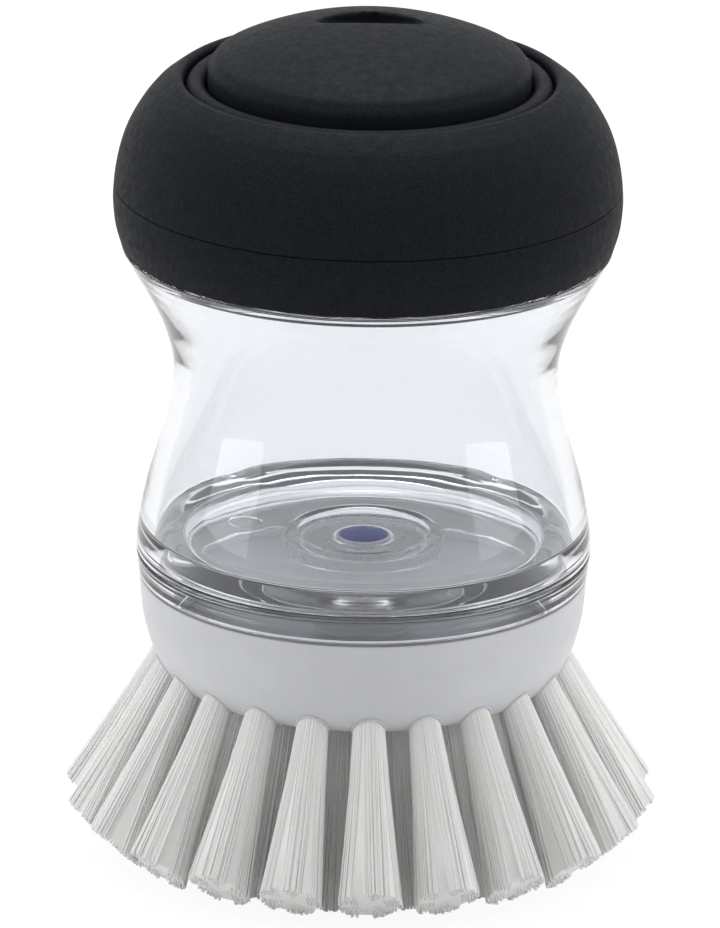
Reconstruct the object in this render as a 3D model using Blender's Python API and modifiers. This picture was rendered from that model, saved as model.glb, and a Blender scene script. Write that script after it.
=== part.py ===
"""Soap-dispensing palm brush.

A round palm grip screws onto a clear, waisted soap reservoir. Pressing the domed button in the
grip pushes air into the reservoir, and soap leaves through a slit valve in its dished floor,
into a round brush head that twists onto the spigot under the reservoir.
Metres, +Z up, origin on the brush's axis at the plane that the bristle tips stand on.
"""

import math

import bmesh
import bpy
from mathutils import Matrix, Vector

# Clearances
FIT_GAP = 0.0003
CUT_OVERRUN = 0.002
WELD_DISTANCE = 0.00001

# Brush head
BRISTLE_HEIGHT = 0.0230
HEAD_FLOOR_THICKNESS = 0.0080
HEAD_BOWL_DEPTH = 0.0050
HEAD_WALL = 0.0016
HEAD_RIM_STEP = 0.0004
SOAP_HOLE_RADIUS = 0.0035
SPOUT_WALL = 0.0025
HEAD_SEAL_THICKNESS = 0.0007

# Tufts
TUFT_RADIUS = 0.0019
TUFT_DEPTH = 0.0050
TUFT_COLLAR = 0.0004
STRAND_ROOT_RADIUS = 0.0005
STRAND_TIP_RADIUS = 0.0010
OUTER_STRAND_TIP_RADIUS = 0.0011
STRAND_ROOT_DEPTH = 0.0010
STRAND_RING_SHARE = 0.68
STRANDS_AROUND = 6
STRAND_SIDES = 3
FLAT_CUT_DEPTH = 0.0005
OUTER_TUFT_COUNT = 22
OUTER_TUFT_LENGTH = 0.0226
OUTER_TUFT_LIFT = 0.0012
OUTER_TUFT_TILT = math.radians(26.5)
OUTER_TRIM_TILT = math.radians(44.0)
MIDDLE_TUFT_COUNT = 16
MIDDLE_TUFT_TILT = math.radians(13.0)
INNER_TUFT_COUNT = 8
INNER_TUFT_TILT = math.radians(6.0)
HEAD_TURN = math.radians(2.3)

# Reservoir: the clear tank and its base
BASE_RADIUS = 0.02845
WAIST_RADIUS = 0.02395
TANK_WALL = 0.0022
TANK_HEIGHT = 0.0397
NECK_INNER_RADIUS = 0.0223
NECK_HEIGHT = 0.0088
FLANGE_THICKNESS = 0.0029
FLANGE_TAPER = 0.0003
DISH_WALL = 0.0030
DISH_DEPTH = 0.0034
DISH_FLOOR_LIFT = 0.0020
DISH_FLOOR_THICKNESS = 0.0020
WELL_RADIUS = 0.0086
WELL_DEPTH = 0.0006
GATE_MARK_RADIUS = 0.0022
GATE_MARK_DEPTH = 0.0003
GATE_MARK_REACH = 0.0150
GATE_MARK_ANGLE = math.radians(172.0)
SPIGOT_WALL = 0.0020

# Valve in the dished floor
VALVE_RADIUS = 0.0034
VALVE_CROWN = 0.0005
VALVE_SKIN = 0.0009
VALVE_FLANGE_RADIUS = 0.0069
VALVE_FLANGE_THICKNESS = 0.0009
RETAINER_LIP = 0.0011
RETAINER_THICKNESS = 0.0012
VALVE_BOSS_WALL = 0.0016

# Twist joints: lugs of the knob and of the brush head
LUGS = 3
LUG_HEIGHT = 0.0010
LUG_ROOT = 0.0002
CAP_LUG_THICKNESS = 0.0014
CAP_LUG_ARC = math.radians(60.0)
CAP_LEAD = 0.0120
CAP_LUG_PLACE_SHARE = 0.60
HEAD_LUG_THICKNESS = 0.0009
HEAD_LUG_ARC = math.radians(20.0)
HEAD_LEAD = 0.0200
HEAD_LUG_PLACE_SHARE = 0.52

# Grip: core, lower ring, upper shell
CORE_WALL = 0.0022
GRIP_WALL = 0.0033
GRIP_RING_HEIGHT = 0.00725
SNAP_BEAD_HEIGHT = 0.0006
SNAP_BEAD_WIDTH = 0.0012
SNAP_BEAD_PLACE_SHARE = 0.45
DECK_THICKNESS = 0.0015
DECK_LEDGE = 0.0050
GASKET_THICKNESS = 0.0008
UPSTAND_INSET = 0.0010
UPSTAND_WALL = 0.0018
SHELL_SHOULDER_WIDTH = 0.0086
SHELL_LEDGE = 0.0018
SHELL_RIM_THICKNESS = 0.0022
SHELL_RIM_ROUND = 0.00075
SHELL_RIM_ROUND_END = 55.0

# Button
GROOVE_WIDTH = 0.0030
BUTTON_TRAVEL = 0.0040
BUTTON_SKIN = 0.0030
BUTTON_WALL_HEIGHT = 0.0042
BUTTON_EDGE_ROUND = 0.0011
BUTTON_EDGE_ROUND_START = 50.0
DOME_RADIUS = 0.0406
BUTTON_FLANGE_THICKNESS = 0.0015
BUTTON_CORE_WALL = 0.0020
BELLOWS_THICKNESS = 0.0012
BELLOWS_ROLL_HEIGHT = 0.0022
BELLOWS_FLANGE_WIDTH = 0.0026
BELLOWS_SKIN = 0.0009
RECESS_RADIUS = 0.0096
RECESS_BACK = 0.0065
RECESS_FRONT = 0.0010
RECESS_TILT = math.radians(21.0)

# Facets of the turned pieces
ROUND_STEPS = 32
SMALL_ROUND_STEPS = 20
TUFT_SIDES = 6
ARC_STEPS = 4
DOME_STEPS = 5
UNDER_DOME_STEPS = 3
CURVE_PIECES = 2
SHARP_ANGLE = math.radians(32.0)

# Outlines, as shares of the height and of the step in radius that they run along
TANK_UPPER_SHARES = ((0.00, 0.00), (0.20, 0.04), (0.46, 0.25), (0.70, 0.56), (0.86, 0.80), (1.00, 1.00))
TANK_LOWER_SHARES = ((0.00, 1.00), (0.15, 0.94), (0.40, 0.68), (0.66, 0.29), (0.86, 0.06), (1.00, 0.00))
WAIST_PLACE_SHARE = 0.567
DISH_SHARES = ((0.00, 0.00), (0.30, 0.03), (0.52, 0.14), (0.70, 0.33), (0.87, 0.64), (1.00, 1.00))
HEAD_OUTLINE_SHARES = (
    (1.000, 1.000), (0.670, 0.988), (0.480, 0.970), (0.320, 0.948),
    (0.160, 0.912), (0.045, 0.868), (0.000, 0.820),
)
SHELL_OUTLINE_SHARES = (
    (0.868, 0.395), (0.758, 0.547), (0.626, 0.686), (0.472, 0.814),
    (0.297, 0.907), (0.106, 0.968), (0.000, 0.988),
)
RING_OUTLINE_SHARES = ((1.00, 0.997), (0.76, 1.000), (0.35, 0.991), (0.00, 0.968))
TUFT_ROOT_SHARES = (0.870, 0.606, 0.374)
SHELL_WAIST_SHARE = 0.45

# Heights, from the bristle tips up
underside_z = BRISTLE_HEIGHT
bowl_floor_z = underside_z + HEAD_FLOOR_THICKNESS
head_rim_z = bowl_floor_z + HEAD_BOWL_DEPTH
spigot_end_z = bowl_floor_z + HEAD_SEAL_THICKNESS + 2 * FIT_GAP
flange_under_z = head_rim_z + FIT_GAP
flange_top_z = flange_under_z + FLANGE_THICKNESS
tank_foot_z = flange_top_z + FIT_GAP
dish_floor_z = flange_top_z + DISH_FLOOR_LIFT
dish_under_z = dish_floor_z - DISH_FLOOR_THICKNESS
dish_rim_z = dish_floor_z + DISH_DEPTH
shoulder_z = tank_foot_z + TANK_HEIGHT
neck_top_z = shoulder_z + NECK_HEIGHT
deck_under_z = neck_top_z + GASKET_THICKNESS + 2 * FIT_GAP
deck_top_z = deck_under_z + DECK_THICKNESS
ring_foot_z = shoulder_z + FIT_GAP
ring_top_z = ring_foot_z + GRIP_RING_HEIGHT
shell_foot_z = ring_top_z + FIT_GAP
button_foot_z = deck_top_z + FIT_GAP + BUTTON_TRAVEL
upstand_top_z = button_foot_z + BUTTON_FLANGE_THICKNESS
bellows_foot_z = upstand_top_z + FIT_GAP
bellows_top_z = bellows_foot_z + BELLOWS_THICKNESS
rim_under_z = bellows_top_z + FIT_GAP
rim_top_z = rim_under_z + SHELL_RIM_THICKNESS
button_shoulder_z = rim_under_z + BUTTON_WALL_HEIGHT
cap_lugs_z = shoulder_z + NECK_HEIGHT * CAP_LUG_PLACE_SHARE
head_lugs_z = spigot_end_z + (flange_under_z - spigot_end_z) * HEAD_LUG_PLACE_SHARE
snap_bead_z = ring_foot_z + GRIP_RING_HEIGHT * SNAP_BEAD_PLACE_SHARE

# Radii, from the neck outwards and from the neck inwards
neck_radius = NECK_INNER_RADIUS + TANK_WALL
core_inner_radius = neck_radius + LUG_HEIGHT + FIT_GAP
core_radius = core_inner_radius + CORE_WALL
ring_inner_radius = core_radius + FIT_GAP
grip_radius = ring_inner_radius + GRIP_WALL
shoulder_radius = grip_radius * RING_OUTLINE_SHARES[-1][1]
opening_radius = grip_radius - SHELL_SHOULDER_WIDTH
button_radius = opening_radius - GROOVE_WIDTH
upstand_inner_radius = opening_radius - UPSTAND_INSET
upstand_radius = upstand_inner_radius + UPSTAND_WALL
deck_hole_radius = upstand_inner_radius - DECK_LEDGE
bellows_radius = upstand_inner_radius + BELLOWS_FLANGE_WIDTH
hub_radius = button_radius - BUTTON_SKIN - FIT_GAP

# Radii of the base and of the head
tank_foot_inner_radius = BASE_RADIUS - TANK_WALL
cup_radius = tank_foot_inner_radius - FIT_GAP
dish_radius = cup_radius - DISH_WALL
head_rim_radius = BASE_RADIUS - HEAD_RIM_STEP
bowl_radius = head_rim_radius - HEAD_WALL
spigot_radius = bowl_radius - FIT_GAP - LUG_HEIGHT
spigot_inner_radius = spigot_radius - SPIGOT_WALL
spout_radius = SOAP_HOLE_RADIUS + SPOUT_WALL
valve_hole_radius = VALVE_RADIUS + FIT_GAP
retainer_radius = VALVE_FLANGE_RADIUS + RETAINER_LIP
valve_boss_inner_radius = retainer_radius + FIT_GAP
valve_boss_radius = valve_boss_inner_radius + VALVE_BOSS_WALL

# Heights under the dished floor
valve_flange_top_z = dish_under_z - FIT_GAP
valve_flange_z = valve_flange_top_z - VALVE_FLANGE_THICKNESS
retainer_top_z = valve_flange_z - FIT_GAP
retainer_z = retainer_top_z - RETAINER_THICKNESS
spout_top_z = retainer_z - FIT_GAP


def clear_scene():
    for old in list(bpy.data.objects):
        bpy.data.objects.remove(old, do_unlink=True)


def collection_named(name):
    group = bpy.data.collections.new(name)
    bpy.context.scene.collection.children.link(group)
    return group


def make_material(name, colour, roughness, alpha=1.0):
    """A plain Principled finish; every material of the brush is a plastic or a rubber."""
    material = bpy.data.materials.new(name)
    material.use_nodes = True
    shader = material.node_tree.nodes["Principled BSDF"]
    shader.inputs["Base Color"].default_value = (*colour, 1.0)
    shader.inputs["Roughness"].default_value = roughness
    shader.inputs["Metallic"].default_value = 0.0
    shader.inputs["Alpha"].default_value = alpha
    material.diffuse_color = (*colour, alpha)
    return material


def arc(centre, radius, start, end, steps=ARC_STEPS):
    """Points on an arc in the (radius, height) plane, from one angle to another."""
    points = []
    for step in range(steps + 1):
        angle = math.radians(start + (end - start) * step / steps)
        points.append((centre[0] + radius * math.cos(angle), centre[1] + radius * math.sin(angle)))
    return points


def dome_points(radius, height, edge_radius, steps=DOME_STEPS):
    """A dome's outline from its top on the axis to an edge radius."""
    reach = math.degrees(math.asin(edge_radius / radius))
    points = arc((0, height - radius), radius, 90, 90 - reach, steps)
    points[0] = (0, height)
    return points


def dome_drop(radius, edge_radius):
    return radius - math.sqrt(radius ** 2 - edge_radius ** 2)


def curve_through(points):
    """A smooth line through the given points, each stretch cut into a few straight pieces."""
    line = []
    last = len(points) - 1
    for start in range(last):
        before = points[max(start - 1, 0)]
        here, there = points[start], points[start + 1]
        after = points[min(start + 2, last)]
        for piece in range(CURVE_PIECES):
            t = piece / CURVE_PIECES
            line.append(tuple(
                h + t / 2 * (n - b) + t ** 2 * (b - 2.5 * h + 2 * n - a / 2)
                + t ** 3 / 2 * (3 * h - b - 3 * n + a)
                for b, h, n, a in zip(before, here, there, after)
            ))
    line.append(points[last])
    return line


def point_where(line, part, value):
    """The first point of an outline whose radius (part 0) or height (part 1) has a given value."""
    for here, there in zip(line, line[1:]):
        if min(here[part], there[part]) <= value <= max(here[part], there[part]):
            share = (value - here[part]) / (there[part] - here[part])
            return tuple(h + (t - h) * share for h, t in zip(here, there))
    raise ValueError("the outline does not reach that value")


def settle(piece):
    """Turns a piece's modifiers into its mesh and shades its round sides smooth."""
    view = bpy.context.evaluated_depsgraph_get()
    mesh = bpy.data.meshes.new_from_object(piece.evaluated_get(view))
    mesh.name = piece.name
    piece.modifiers.clear()
    piece.data = mesh
    mesh.shade_smooth()
    mesh.set_sharp_from_angle(angle=SHARP_ANGLE)


def turned(name, outline, group, steps=ROUND_STEPS):
    """A piece turned about the brush's axis. The outline runs down its outer side and up inside."""
    mesh = bpy.data.meshes.new(name)
    links = [(i, i + 1) for i in range(len(outline) - 1)]
    if outline[0][0] > 0:
        links.append((len(outline) - 1, 0))
    mesh.from_pydata([(radius, 0, height) for radius, height in outline], links, [])
    piece = bpy.data.objects.new(name, mesh)
    group.objects.link(piece)
    turn = piece.modifiers.new("turn", "SCREW")
    turn.axis = "Z"
    turn.steps = steps
    turn.render_steps = steps
    turn.use_merge_vertices = True
    turn.merge_threshold = WELD_DISTANCE
    settle(piece)
    return piece


def object_from(name, shape, group):
    """An object made from a finished bmesh."""
    mesh = bpy.data.meshes.new(name)
    bmesh.ops.recalc_face_normals(shape, faces=shape.faces)
    shape.to_mesh(mesh)
    shape.free()
    piece = bpy.data.objects.new(name, mesh)
    group.objects.link(piece)
    return piece


def as_cutter(piece):
    piece.hide_render = True
    piece.display_type = "WIRE"


def combine(piece, tool, operation):
    """Joins a tool to a piece, or cuts it from the piece."""
    as_cutter(tool)
    change = piece.modifiers.new(tool.name, "BOOLEAN")
    change.operation = operation
    change.solver = "EXACT"
    change.object = tool
    settle(piece)


def lug_ring(name, inner, outer, thickness, arc_angle, lead, middle_z, tools):
    """Equal lugs around a wall. Each is a bar swept along a right-handed screw line."""
    shape = bmesh.new()
    steps = max(3, round(arc_angle / (math.tau / ROUND_STEPS)))
    climb = lead * arc_angle / math.tau
    low = middle_z - climb / 2 - thickness / 2
    for lug in range(LUGS):
        start = lug * math.tau / LUGS - arc_angle / 2
        around = Matrix.Rotation(start, 4, "Z")
        section = [(inner, low), (outer, low), (outer, low + thickness), (inner, low + thickness)]
        corners = [shape.verts.new(around @ Vector((radius, 0, height))) for radius, height in section]
        face = shape.faces.new(corners)
        bmesh.ops.spin(
            shape, geom=[face, *face.edges, *face.verts], axis=(0, 0, 1), cent=(0, 0, 0),
            dvec=(0, 0, climb / steps), angle=arc_angle, steps=steps,
        )
    return object_from(name, shape, tools)


# Reservoir

def tank_side(inset):
    """The waisted side of the tank from its shoulder down to its foot, moved in by a wall."""
    waist_z = tank_foot_z + TANK_HEIGHT * WAIST_PLACE_SHARE
    upper = []
    for height, out in reversed(TANK_UPPER_SHARES):
        radius = WAIST_RADIUS + (shoulder_radius - WAIST_RADIUS) * out
        upper.append((radius - inset, waist_z + (shoulder_z - waist_z) * height))
    lower = []
    for height, out in reversed(TANK_LOWER_SHARES[:-1]):
        radius = WAIST_RADIUS + (BASE_RADIUS - WAIST_RADIUS) * out
        lower.append((radius - inset, tank_foot_z + (waist_z - tank_foot_z) * height))
    return curve_through(upper + lower)


def make_tank(group, tools):
    under_shoulder_z = shoulder_z - TANK_WALL
    seat_z = dish_rim_z + FIT_GAP
    inner = tank_side(TANK_WALL)
    inner.reverse()
    outline = [(NECK_INNER_RADIUS, neck_top_z), (neck_radius, neck_top_z), (neck_radius, shoulder_z)]
    outline += tank_side(0)
    outline += [(tank_foot_inner_radius, tank_foot_z), (tank_foot_inner_radius, seat_z)]
    outline += [point_where(inner, 1, seat_z)]
    outline += [point for point in inner if seat_z < point[1] < under_shoulder_z]
    outline += [point_where(inner, 1, under_shoulder_z), (NECK_INNER_RADIUS, under_shoulder_z)]
    tank = turned("reservoir_tank", outline, group)
    lugs = lug_ring(
        "neck_lugs", neck_radius - LUG_ROOT, neck_radius + LUG_HEIGHT, CAP_LUG_THICKNESS,
        CAP_LUG_ARC, CAP_LEAD, cap_lugs_z, tools,
    )
    combine(tank, lugs, "UNION")
    return tank


def make_base(group, tools):
    """The dished floor with its valve seat, the flange under the tank and the spigot."""
    outline = [
        (cup_radius, dish_rim_z), (cup_radius, flange_top_z),
        (BASE_RADIUS, flange_top_z), (BASE_RADIUS - FLANGE_TAPER, flange_under_z),
        (spigot_radius, flange_under_z), (spigot_radius, spigot_end_z),
        (spigot_inner_radius, spigot_end_z), (spigot_inner_radius, dish_under_z),
        (valve_boss_radius, dish_under_z), (valve_boss_radius, retainer_z),
        (valve_boss_inner_radius, retainer_z), (valve_boss_inner_radius, dish_under_z),
        (valve_hole_radius, dish_under_z), (valve_hole_radius, dish_floor_z - WELL_DEPTH),
        (WELL_RADIUS - WELL_DEPTH, dish_floor_z - WELL_DEPTH),
    ]
    dish = []
    for out, height in DISH_SHARES:
        dish.append((WELL_RADIUS + (dish_radius - WELL_RADIUS) * out, dish_floor_z + DISH_DEPTH * height))
    base = turned("reservoir_base", outline + dish, group)
    lugs = lug_ring(
        "spigot_lugs", spigot_radius - LUG_ROOT, spigot_radius + LUG_HEIGHT, HEAD_LUG_THICKNESS,
        HEAD_LUG_ARC, HEAD_LEAD, head_lugs_z - (HEAD_LUG_THICKNESS + FIT_GAP) / 2, tools,
    )
    combine(base, lugs, "UNION")
    near = point_where(dish, 0, GATE_MARK_REACH - GATE_MARK_RADIUS)
    far = point_where(dish, 0, GATE_MARK_REACH + GATE_MARK_RADIUS)
    slope = math.atan2(far[1] - near[1], far[0] - near[0])
    middle = Matrix.Translation((GATE_MARK_REACH, 0, (near[1] + far[1]) / 2))
    place = Matrix.Rotation(GATE_MARK_ANGLE, 4, "Z") @ middle @ Matrix.Rotation(-slope, 4, "Y")
    shape = bmesh.new()
    bmesh.ops.create_cone(
        shape, cap_ends=True, segments=SMALL_ROUND_STEPS, radius1=GATE_MARK_RADIUS,
        radius2=GATE_MARK_RADIUS, depth=2 * GATE_MARK_DEPTH, matrix=place,
    )
    combine(base, object_from("gate_mark", shape, tools), "DIFFERENCE")
    return base


def make_valve(group):
    """A soft slit valve: a crowned plug over a flange, hollow from below."""
    plug_top_z = dish_floor_z - WELL_DEPTH + VALVE_CROWN
    hollow_radius = VALVE_RADIUS - VALVE_SKIN
    crown_radius = (VALVE_RADIUS ** 2 + VALVE_CROWN ** 2) / (2 * VALVE_CROWN)
    outline = dome_points(crown_radius, plug_top_z, VALVE_RADIUS, UNDER_DOME_STEPS)
    outline += [
        (VALVE_RADIUS, valve_flange_top_z), (VALVE_FLANGE_RADIUS, valve_flange_top_z),
        (VALVE_FLANGE_RADIUS, valve_flange_z), (hollow_radius, valve_flange_z),
    ]
    under = dome_points(crown_radius - VALVE_SKIN, plug_top_z - VALVE_SKIN, hollow_radius, UNDER_DOME_STEPS)
    outline += reversed(under)
    return turned("dispensing_valve", outline, group, SMALL_ROUND_STEPS)


def plain_ring(name, inner, outer, low, high, group, steps=ROUND_STEPS):
    return turned(name, [(inner, high), (outer, high), (outer, low), (inner, low)], group, steps)


# Grip

def make_core(group, tools):
    """The hard core of the grip: skirt with lugs, deck with an air hole, and the bellows seat."""
    foot_z = shoulder_z + 2 * FIT_GAP
    half_bead = SNAP_BEAD_WIDTH / 2
    outline = [
        (upstand_inner_radius, upstand_top_z), (upstand_radius, upstand_top_z),
        (upstand_radius, deck_top_z), (core_radius, deck_top_z),
        (core_radius, snap_bead_z + half_bead), (core_radius + SNAP_BEAD_HEIGHT, snap_bead_z),
        (core_radius, snap_bead_z - half_bead), (core_radius, foot_z),
        (core_inner_radius, foot_z), (core_inner_radius, deck_under_z),
        (deck_hole_radius, deck_under_z), (deck_hole_radius, deck_top_z),
        (upstand_inner_radius, deck_top_z),
    ]
    core = turned("cap_core", outline, group)
    lugs = lug_ring(
        "core_lugs", neck_radius + FIT_GAP, core_inner_radius + LUG_ROOT, CAP_LUG_THICKNESS,
        CAP_LUG_ARC, CAP_LEAD, cap_lugs_z - CAP_LUG_THICKNESS - FIT_GAP, tools,
    )
    combine(core, lugs, "UNION")
    return core


def make_grip_ring(group):
    """The lower band of the grip, flush with the tank below it, with a groove for the snap bead."""
    half_groove = SNAP_BEAD_WIDTH / 2 + FIT_GAP
    outline = [(ring_inner_radius, ring_top_z)]
    for height, out in RING_OUTLINE_SHARES:
        outline.append((grip_radius * out, ring_foot_z + GRIP_RING_HEIGHT * height))
    outline += [
        (ring_inner_radius, ring_foot_z), (ring_inner_radius, snap_bead_z - half_groove),
        (ring_inner_radius + SNAP_BEAD_HEIGHT, snap_bead_z),
        (ring_inner_radius, snap_bead_z + half_groove),
    ]
    return turned("grip_lower_ring", outline, group)


def make_shell(group):
    """The rounded upper shell of the grip, with a thick rim round the button's opening."""
    rim_centre = (opening_radius + SHELL_RIM_ROUND, rim_top_z - SHELL_RIM_ROUND)
    rise = rim_top_z - shell_foot_z
    side = []
    for height, out in SHELL_OUTLINE_SHARES:
        side.append((opening_radius + SHELL_SHOULDER_WIDTH * out, shell_foot_z + rise * height))
    seat_z = deck_top_z + FIT_GAP
    seat_radius = ring_inner_radius - SHELL_LEDGE
    top_inner_radius = bellows_radius + FIT_GAP
    knee_z = seat_z + (rim_under_z - seat_z) * SHELL_WAIST_SHARE
    outline = arc(rim_centre, SHELL_RIM_ROUND, 180, SHELL_RIM_ROUND_END, ARC_STEPS - 1)
    outline += curve_through(side)
    outline += [
        (ring_inner_radius, shell_foot_z), (ring_inner_radius, seat_z), (seat_radius, seat_z),
        (seat_radius, knee_z), (top_inner_radius, rim_under_z), (opening_radius, rim_under_z),
    ]
    return turned("grip_upper_shell", outline, group)


# Button

def make_button(group, tools):
    """The domed press button, with a plain scoop behind the middle of its top."""
    top_z = button_shoulder_z + dome_drop(DOME_RADIUS, button_radius)
    inner_radius = button_radius - BUTTON_SKIN
    round_centre = (button_radius - BUTTON_EDGE_ROUND, button_shoulder_z - BUTTON_EDGE_ROUND)
    outline = dome_points(DOME_RADIUS, top_z, button_radius - BUTTON_EDGE_ROUND)
    outline += arc(round_centre, BUTTON_EDGE_ROUND, BUTTON_EDGE_ROUND_START, 0, ARC_STEPS // 2)
    outline += [(button_radius, rim_under_z), (inner_radius, rim_under_z)]
    inner_dome = dome_points(DOME_RADIUS - BUTTON_SKIN, top_z - BUTTON_SKIN, inner_radius, UNDER_DOME_STEPS)
    inner_dome.reverse()
    outline += inner_dome
    button = turned("press_button", outline, group)
    shape = bmesh.new()
    middle = Matrix.Translation((0, RECESS_BACK - RECESS_RADIUS, top_z))
    bmesh.ops.create_cone(
        shape, cap_ends=True, segments=ROUND_STEPS, radius1=RECESS_RADIUS, radius2=RECESS_RADIUS,
        depth=2 * RECESS_RADIUS, matrix=middle,
    )
    slope = Vector((0, math.sin(RECESS_TILT), math.cos(RECESS_TILT)))
    front = Vector((0, RECESS_FRONT, top_z))
    cut = bmesh.ops.bisect_plane(
        shape, geom=[*shape.verts, *shape.edges, *shape.faces], plane_co=front, plane_no=slope,
        clear_inner=True,
    )
    bmesh.ops.holes_fill(shape, edges=[part for part in cut["geom_cut"] if isinstance(part, bmesh.types.BMEdge)])
    combine(button, object_from("button_recess", shape, tools), "DIFFERENCE")
    return button


def make_button_core(group):
    """The stiff cup under the button, which clamps the bellows and keeps the dome's shape."""
    skin = BUTTON_SKIN + FIT_GAP
    top_z = button_shoulder_z + dome_drop(DOME_RADIUS, button_radius) - skin
    cavity_radius = hub_radius - BUTTON_CORE_WALL
    outline = dome_points(DOME_RADIUS - skin, top_z, hub_radius, UNDER_DOME_STEPS)
    outline += [
        (hub_radius, upstand_top_z), (button_radius, upstand_top_z), (button_radius, button_foot_z),
        (cavity_radius, button_foot_z),
    ]
    cavity_top_z = top_z - BUTTON_CORE_WALL
    cavity_dome_radius = DOME_RADIUS - skin - BUTTON_CORE_WALL
    cavity = dome_points(cavity_dome_radius, cavity_top_z, cavity_radius, UNDER_DOME_STEPS)
    cavity.reverse()
    outline += cavity
    return turned("button_core", outline, group)


def make_bellows(group):
    """The rolled rubber ring that joins the button to the grip and closes the air chamber."""
    inner_radius = hub_radius + FIT_GAP
    roll_low = button_radius + FIT_GAP
    roll_high = opening_radius - FIT_GAP
    roll_radius = (roll_high - roll_low) / 2
    roll_centre = (roll_low + roll_radius, bellows_top_z + BELLOWS_ROLL_HEIGHT - roll_radius)
    outer_roll = arc(roll_centre, roll_radius, 180, 0, ARC_STEPS + 2)
    inner_roll = arc(roll_centre, roll_radius - BELLOWS_SKIN, 0, 180, ARC_STEPS)
    outline = outer_roll
    outline += [
        (roll_high, bellows_top_z), (bellows_radius, bellows_top_z), (bellows_radius, bellows_foot_z),
        (roll_high - BELLOWS_SKIN, bellows_foot_z),
    ]
    outline += inner_roll
    outline += [
        (roll_low + BELLOWS_SKIN, bellows_foot_z), (inner_radius, bellows_foot_z),
        (inner_radius, bellows_top_z), (roll_low, bellows_top_z),
    ]
    return turned("button_bellows", outline, group)


# Brush head and its tufts

def ring_root(ring):
    """Where a ring of tufts leaves the head's underside: its radius."""
    return head_rim_radius * TUFT_ROOT_SHARES[ring]


def tuft_place(ring, tilt, turn):
    """The frame of a tuft: its root on the underside, its local Z pointing out along the strands."""
    lift = OUTER_TUFT_LIFT if ring == 0 else 0
    root = Matrix.Translation((ring_root(ring), 0, underside_z + lift))
    return Matrix.Rotation(turn, 4, "Z") @ root @ Matrix.Rotation(math.pi - tilt, 4, "Y")


def tuft_turns(count, offset):
    return [math.tau * (number + offset) / count for number in range(count)]


def tuft_rings():
    """Each ring of tufts: its name, ring number, tilt and the turn of each tuft about the axis."""
    front = HEAD_TURN - math.pi / 2
    outer = [front + turn for turn in tuft_turns(OUTER_TUFT_COUNT, 0)]
    middle = [front + turn for turn in tuft_turns(MIDDLE_TUFT_COUNT, 0.5)]
    inner = [front + turn for turn in tuft_turns(INNER_TUFT_COUNT, 0)]
    return [
        ("outer_tuft", 0, OUTER_TUFT_TILT, outer),
        ("middle_tuft", 1, MIDDLE_TUFT_TILT, middle),
        ("inner_tuft", 2, INNER_TUFT_TILT, inner),
    ]


def make_head(group, tools):
    """The bowl-shaped head: rim over the spigot, soap spout, and a hole for each tuft."""
    side = []
    for height, out in HEAD_OUTLINE_SHARES:
        side.append((head_rim_radius * out, underside_z + (head_rim_z - underside_z) * height))
    outline = curve_through(side)
    outline += [
        (SOAP_HOLE_RADIUS, underside_z), (SOAP_HOLE_RADIUS, spout_top_z), (spout_radius, spout_top_z),
        (spout_radius, bowl_floor_z), (bowl_radius, bowl_floor_z), (bowl_radius, head_rim_z),
    ]
    head = turned("brush_head", outline, group)
    lugs = lug_ring(
        "head_lugs", spigot_radius + FIT_GAP, bowl_radius + LUG_ROOT, HEAD_LUG_THICKNESS,
        HEAD_LUG_ARC, HEAD_LEAD, head_lugs_z + (HEAD_LUG_THICKNESS + FIT_GAP) / 2, tools,
    )
    combine(head, lugs, "UNION")
    shape = bmesh.new()
    hole_radius = TUFT_RADIUS + FIT_GAP
    hole_length = TUFT_DEPTH + FIT_GAP + CUT_OVERRUN
    for _, ring, tilt, turns in tuft_rings():
        for turn in turns:
            middle = Matrix.Translation((0, 0, CUT_OVERRUN - hole_length / 2))
            bmesh.ops.create_cone(
                shape, cap_ends=True, segments=TUFT_SIDES, radius1=hole_radius,
                radius2=hole_radius, depth=hole_length, matrix=tuft_place(ring, tilt, turn) @ middle,
            )
    combine(head, object_from("tuft_holes", shape, tools), "DIFFERENCE")
    return head


def strand_spots():
    """Where the strands of a tuft stand, as shares of its radius: one in the middle, the rest around."""
    spots = [Vector((0, 0, 0))]
    for number in range(STRANDS_AROUND):
        turn = math.tau * number / STRANDS_AROUND
        spots.append(Vector((math.cos(turn), math.sin(turn), 0)))
    return spots


def make_strands(name, length, tip_radius, trim_point, trim_normal, tools):
    """The fanned strands of one tuft, cut to a flat end."""
    shape = bmesh.new()
    root_ring = TUFT_RADIUS * STRAND_RING_SHARE
    tip_ring = root_ring * tip_radius / STRAND_ROOT_RADIUS
    for spot in strand_spots():
        start = spot * root_ring - Vector((0, 0, STRAND_ROOT_DEPTH))
        end = spot * tip_ring + Vector((0, 0, length))
        way = end - start
        middle = Matrix.Translation((start + end) / 2) @ way.to_track_quat("Z", "Y").to_matrix().to_4x4()
        bmesh.ops.create_cone(
            shape, cap_ends=True, segments=STRAND_SIDES, radius1=STRAND_ROOT_RADIUS,
            radius2=tip_radius, depth=way.length, matrix=middle,
        )
    cut = bmesh.ops.bisect_plane(
        shape, geom=[*shape.verts, *shape.edges, *shape.faces], plane_co=trim_point,
        plane_no=trim_normal, clear_outer=True,
    )
    bmesh.ops.holes_fill(shape, edges=[part for part in cut["geom_cut"] if isinstance(part, bmesh.types.BMEdge)])
    return object_from(name, shape, tools)


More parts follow.
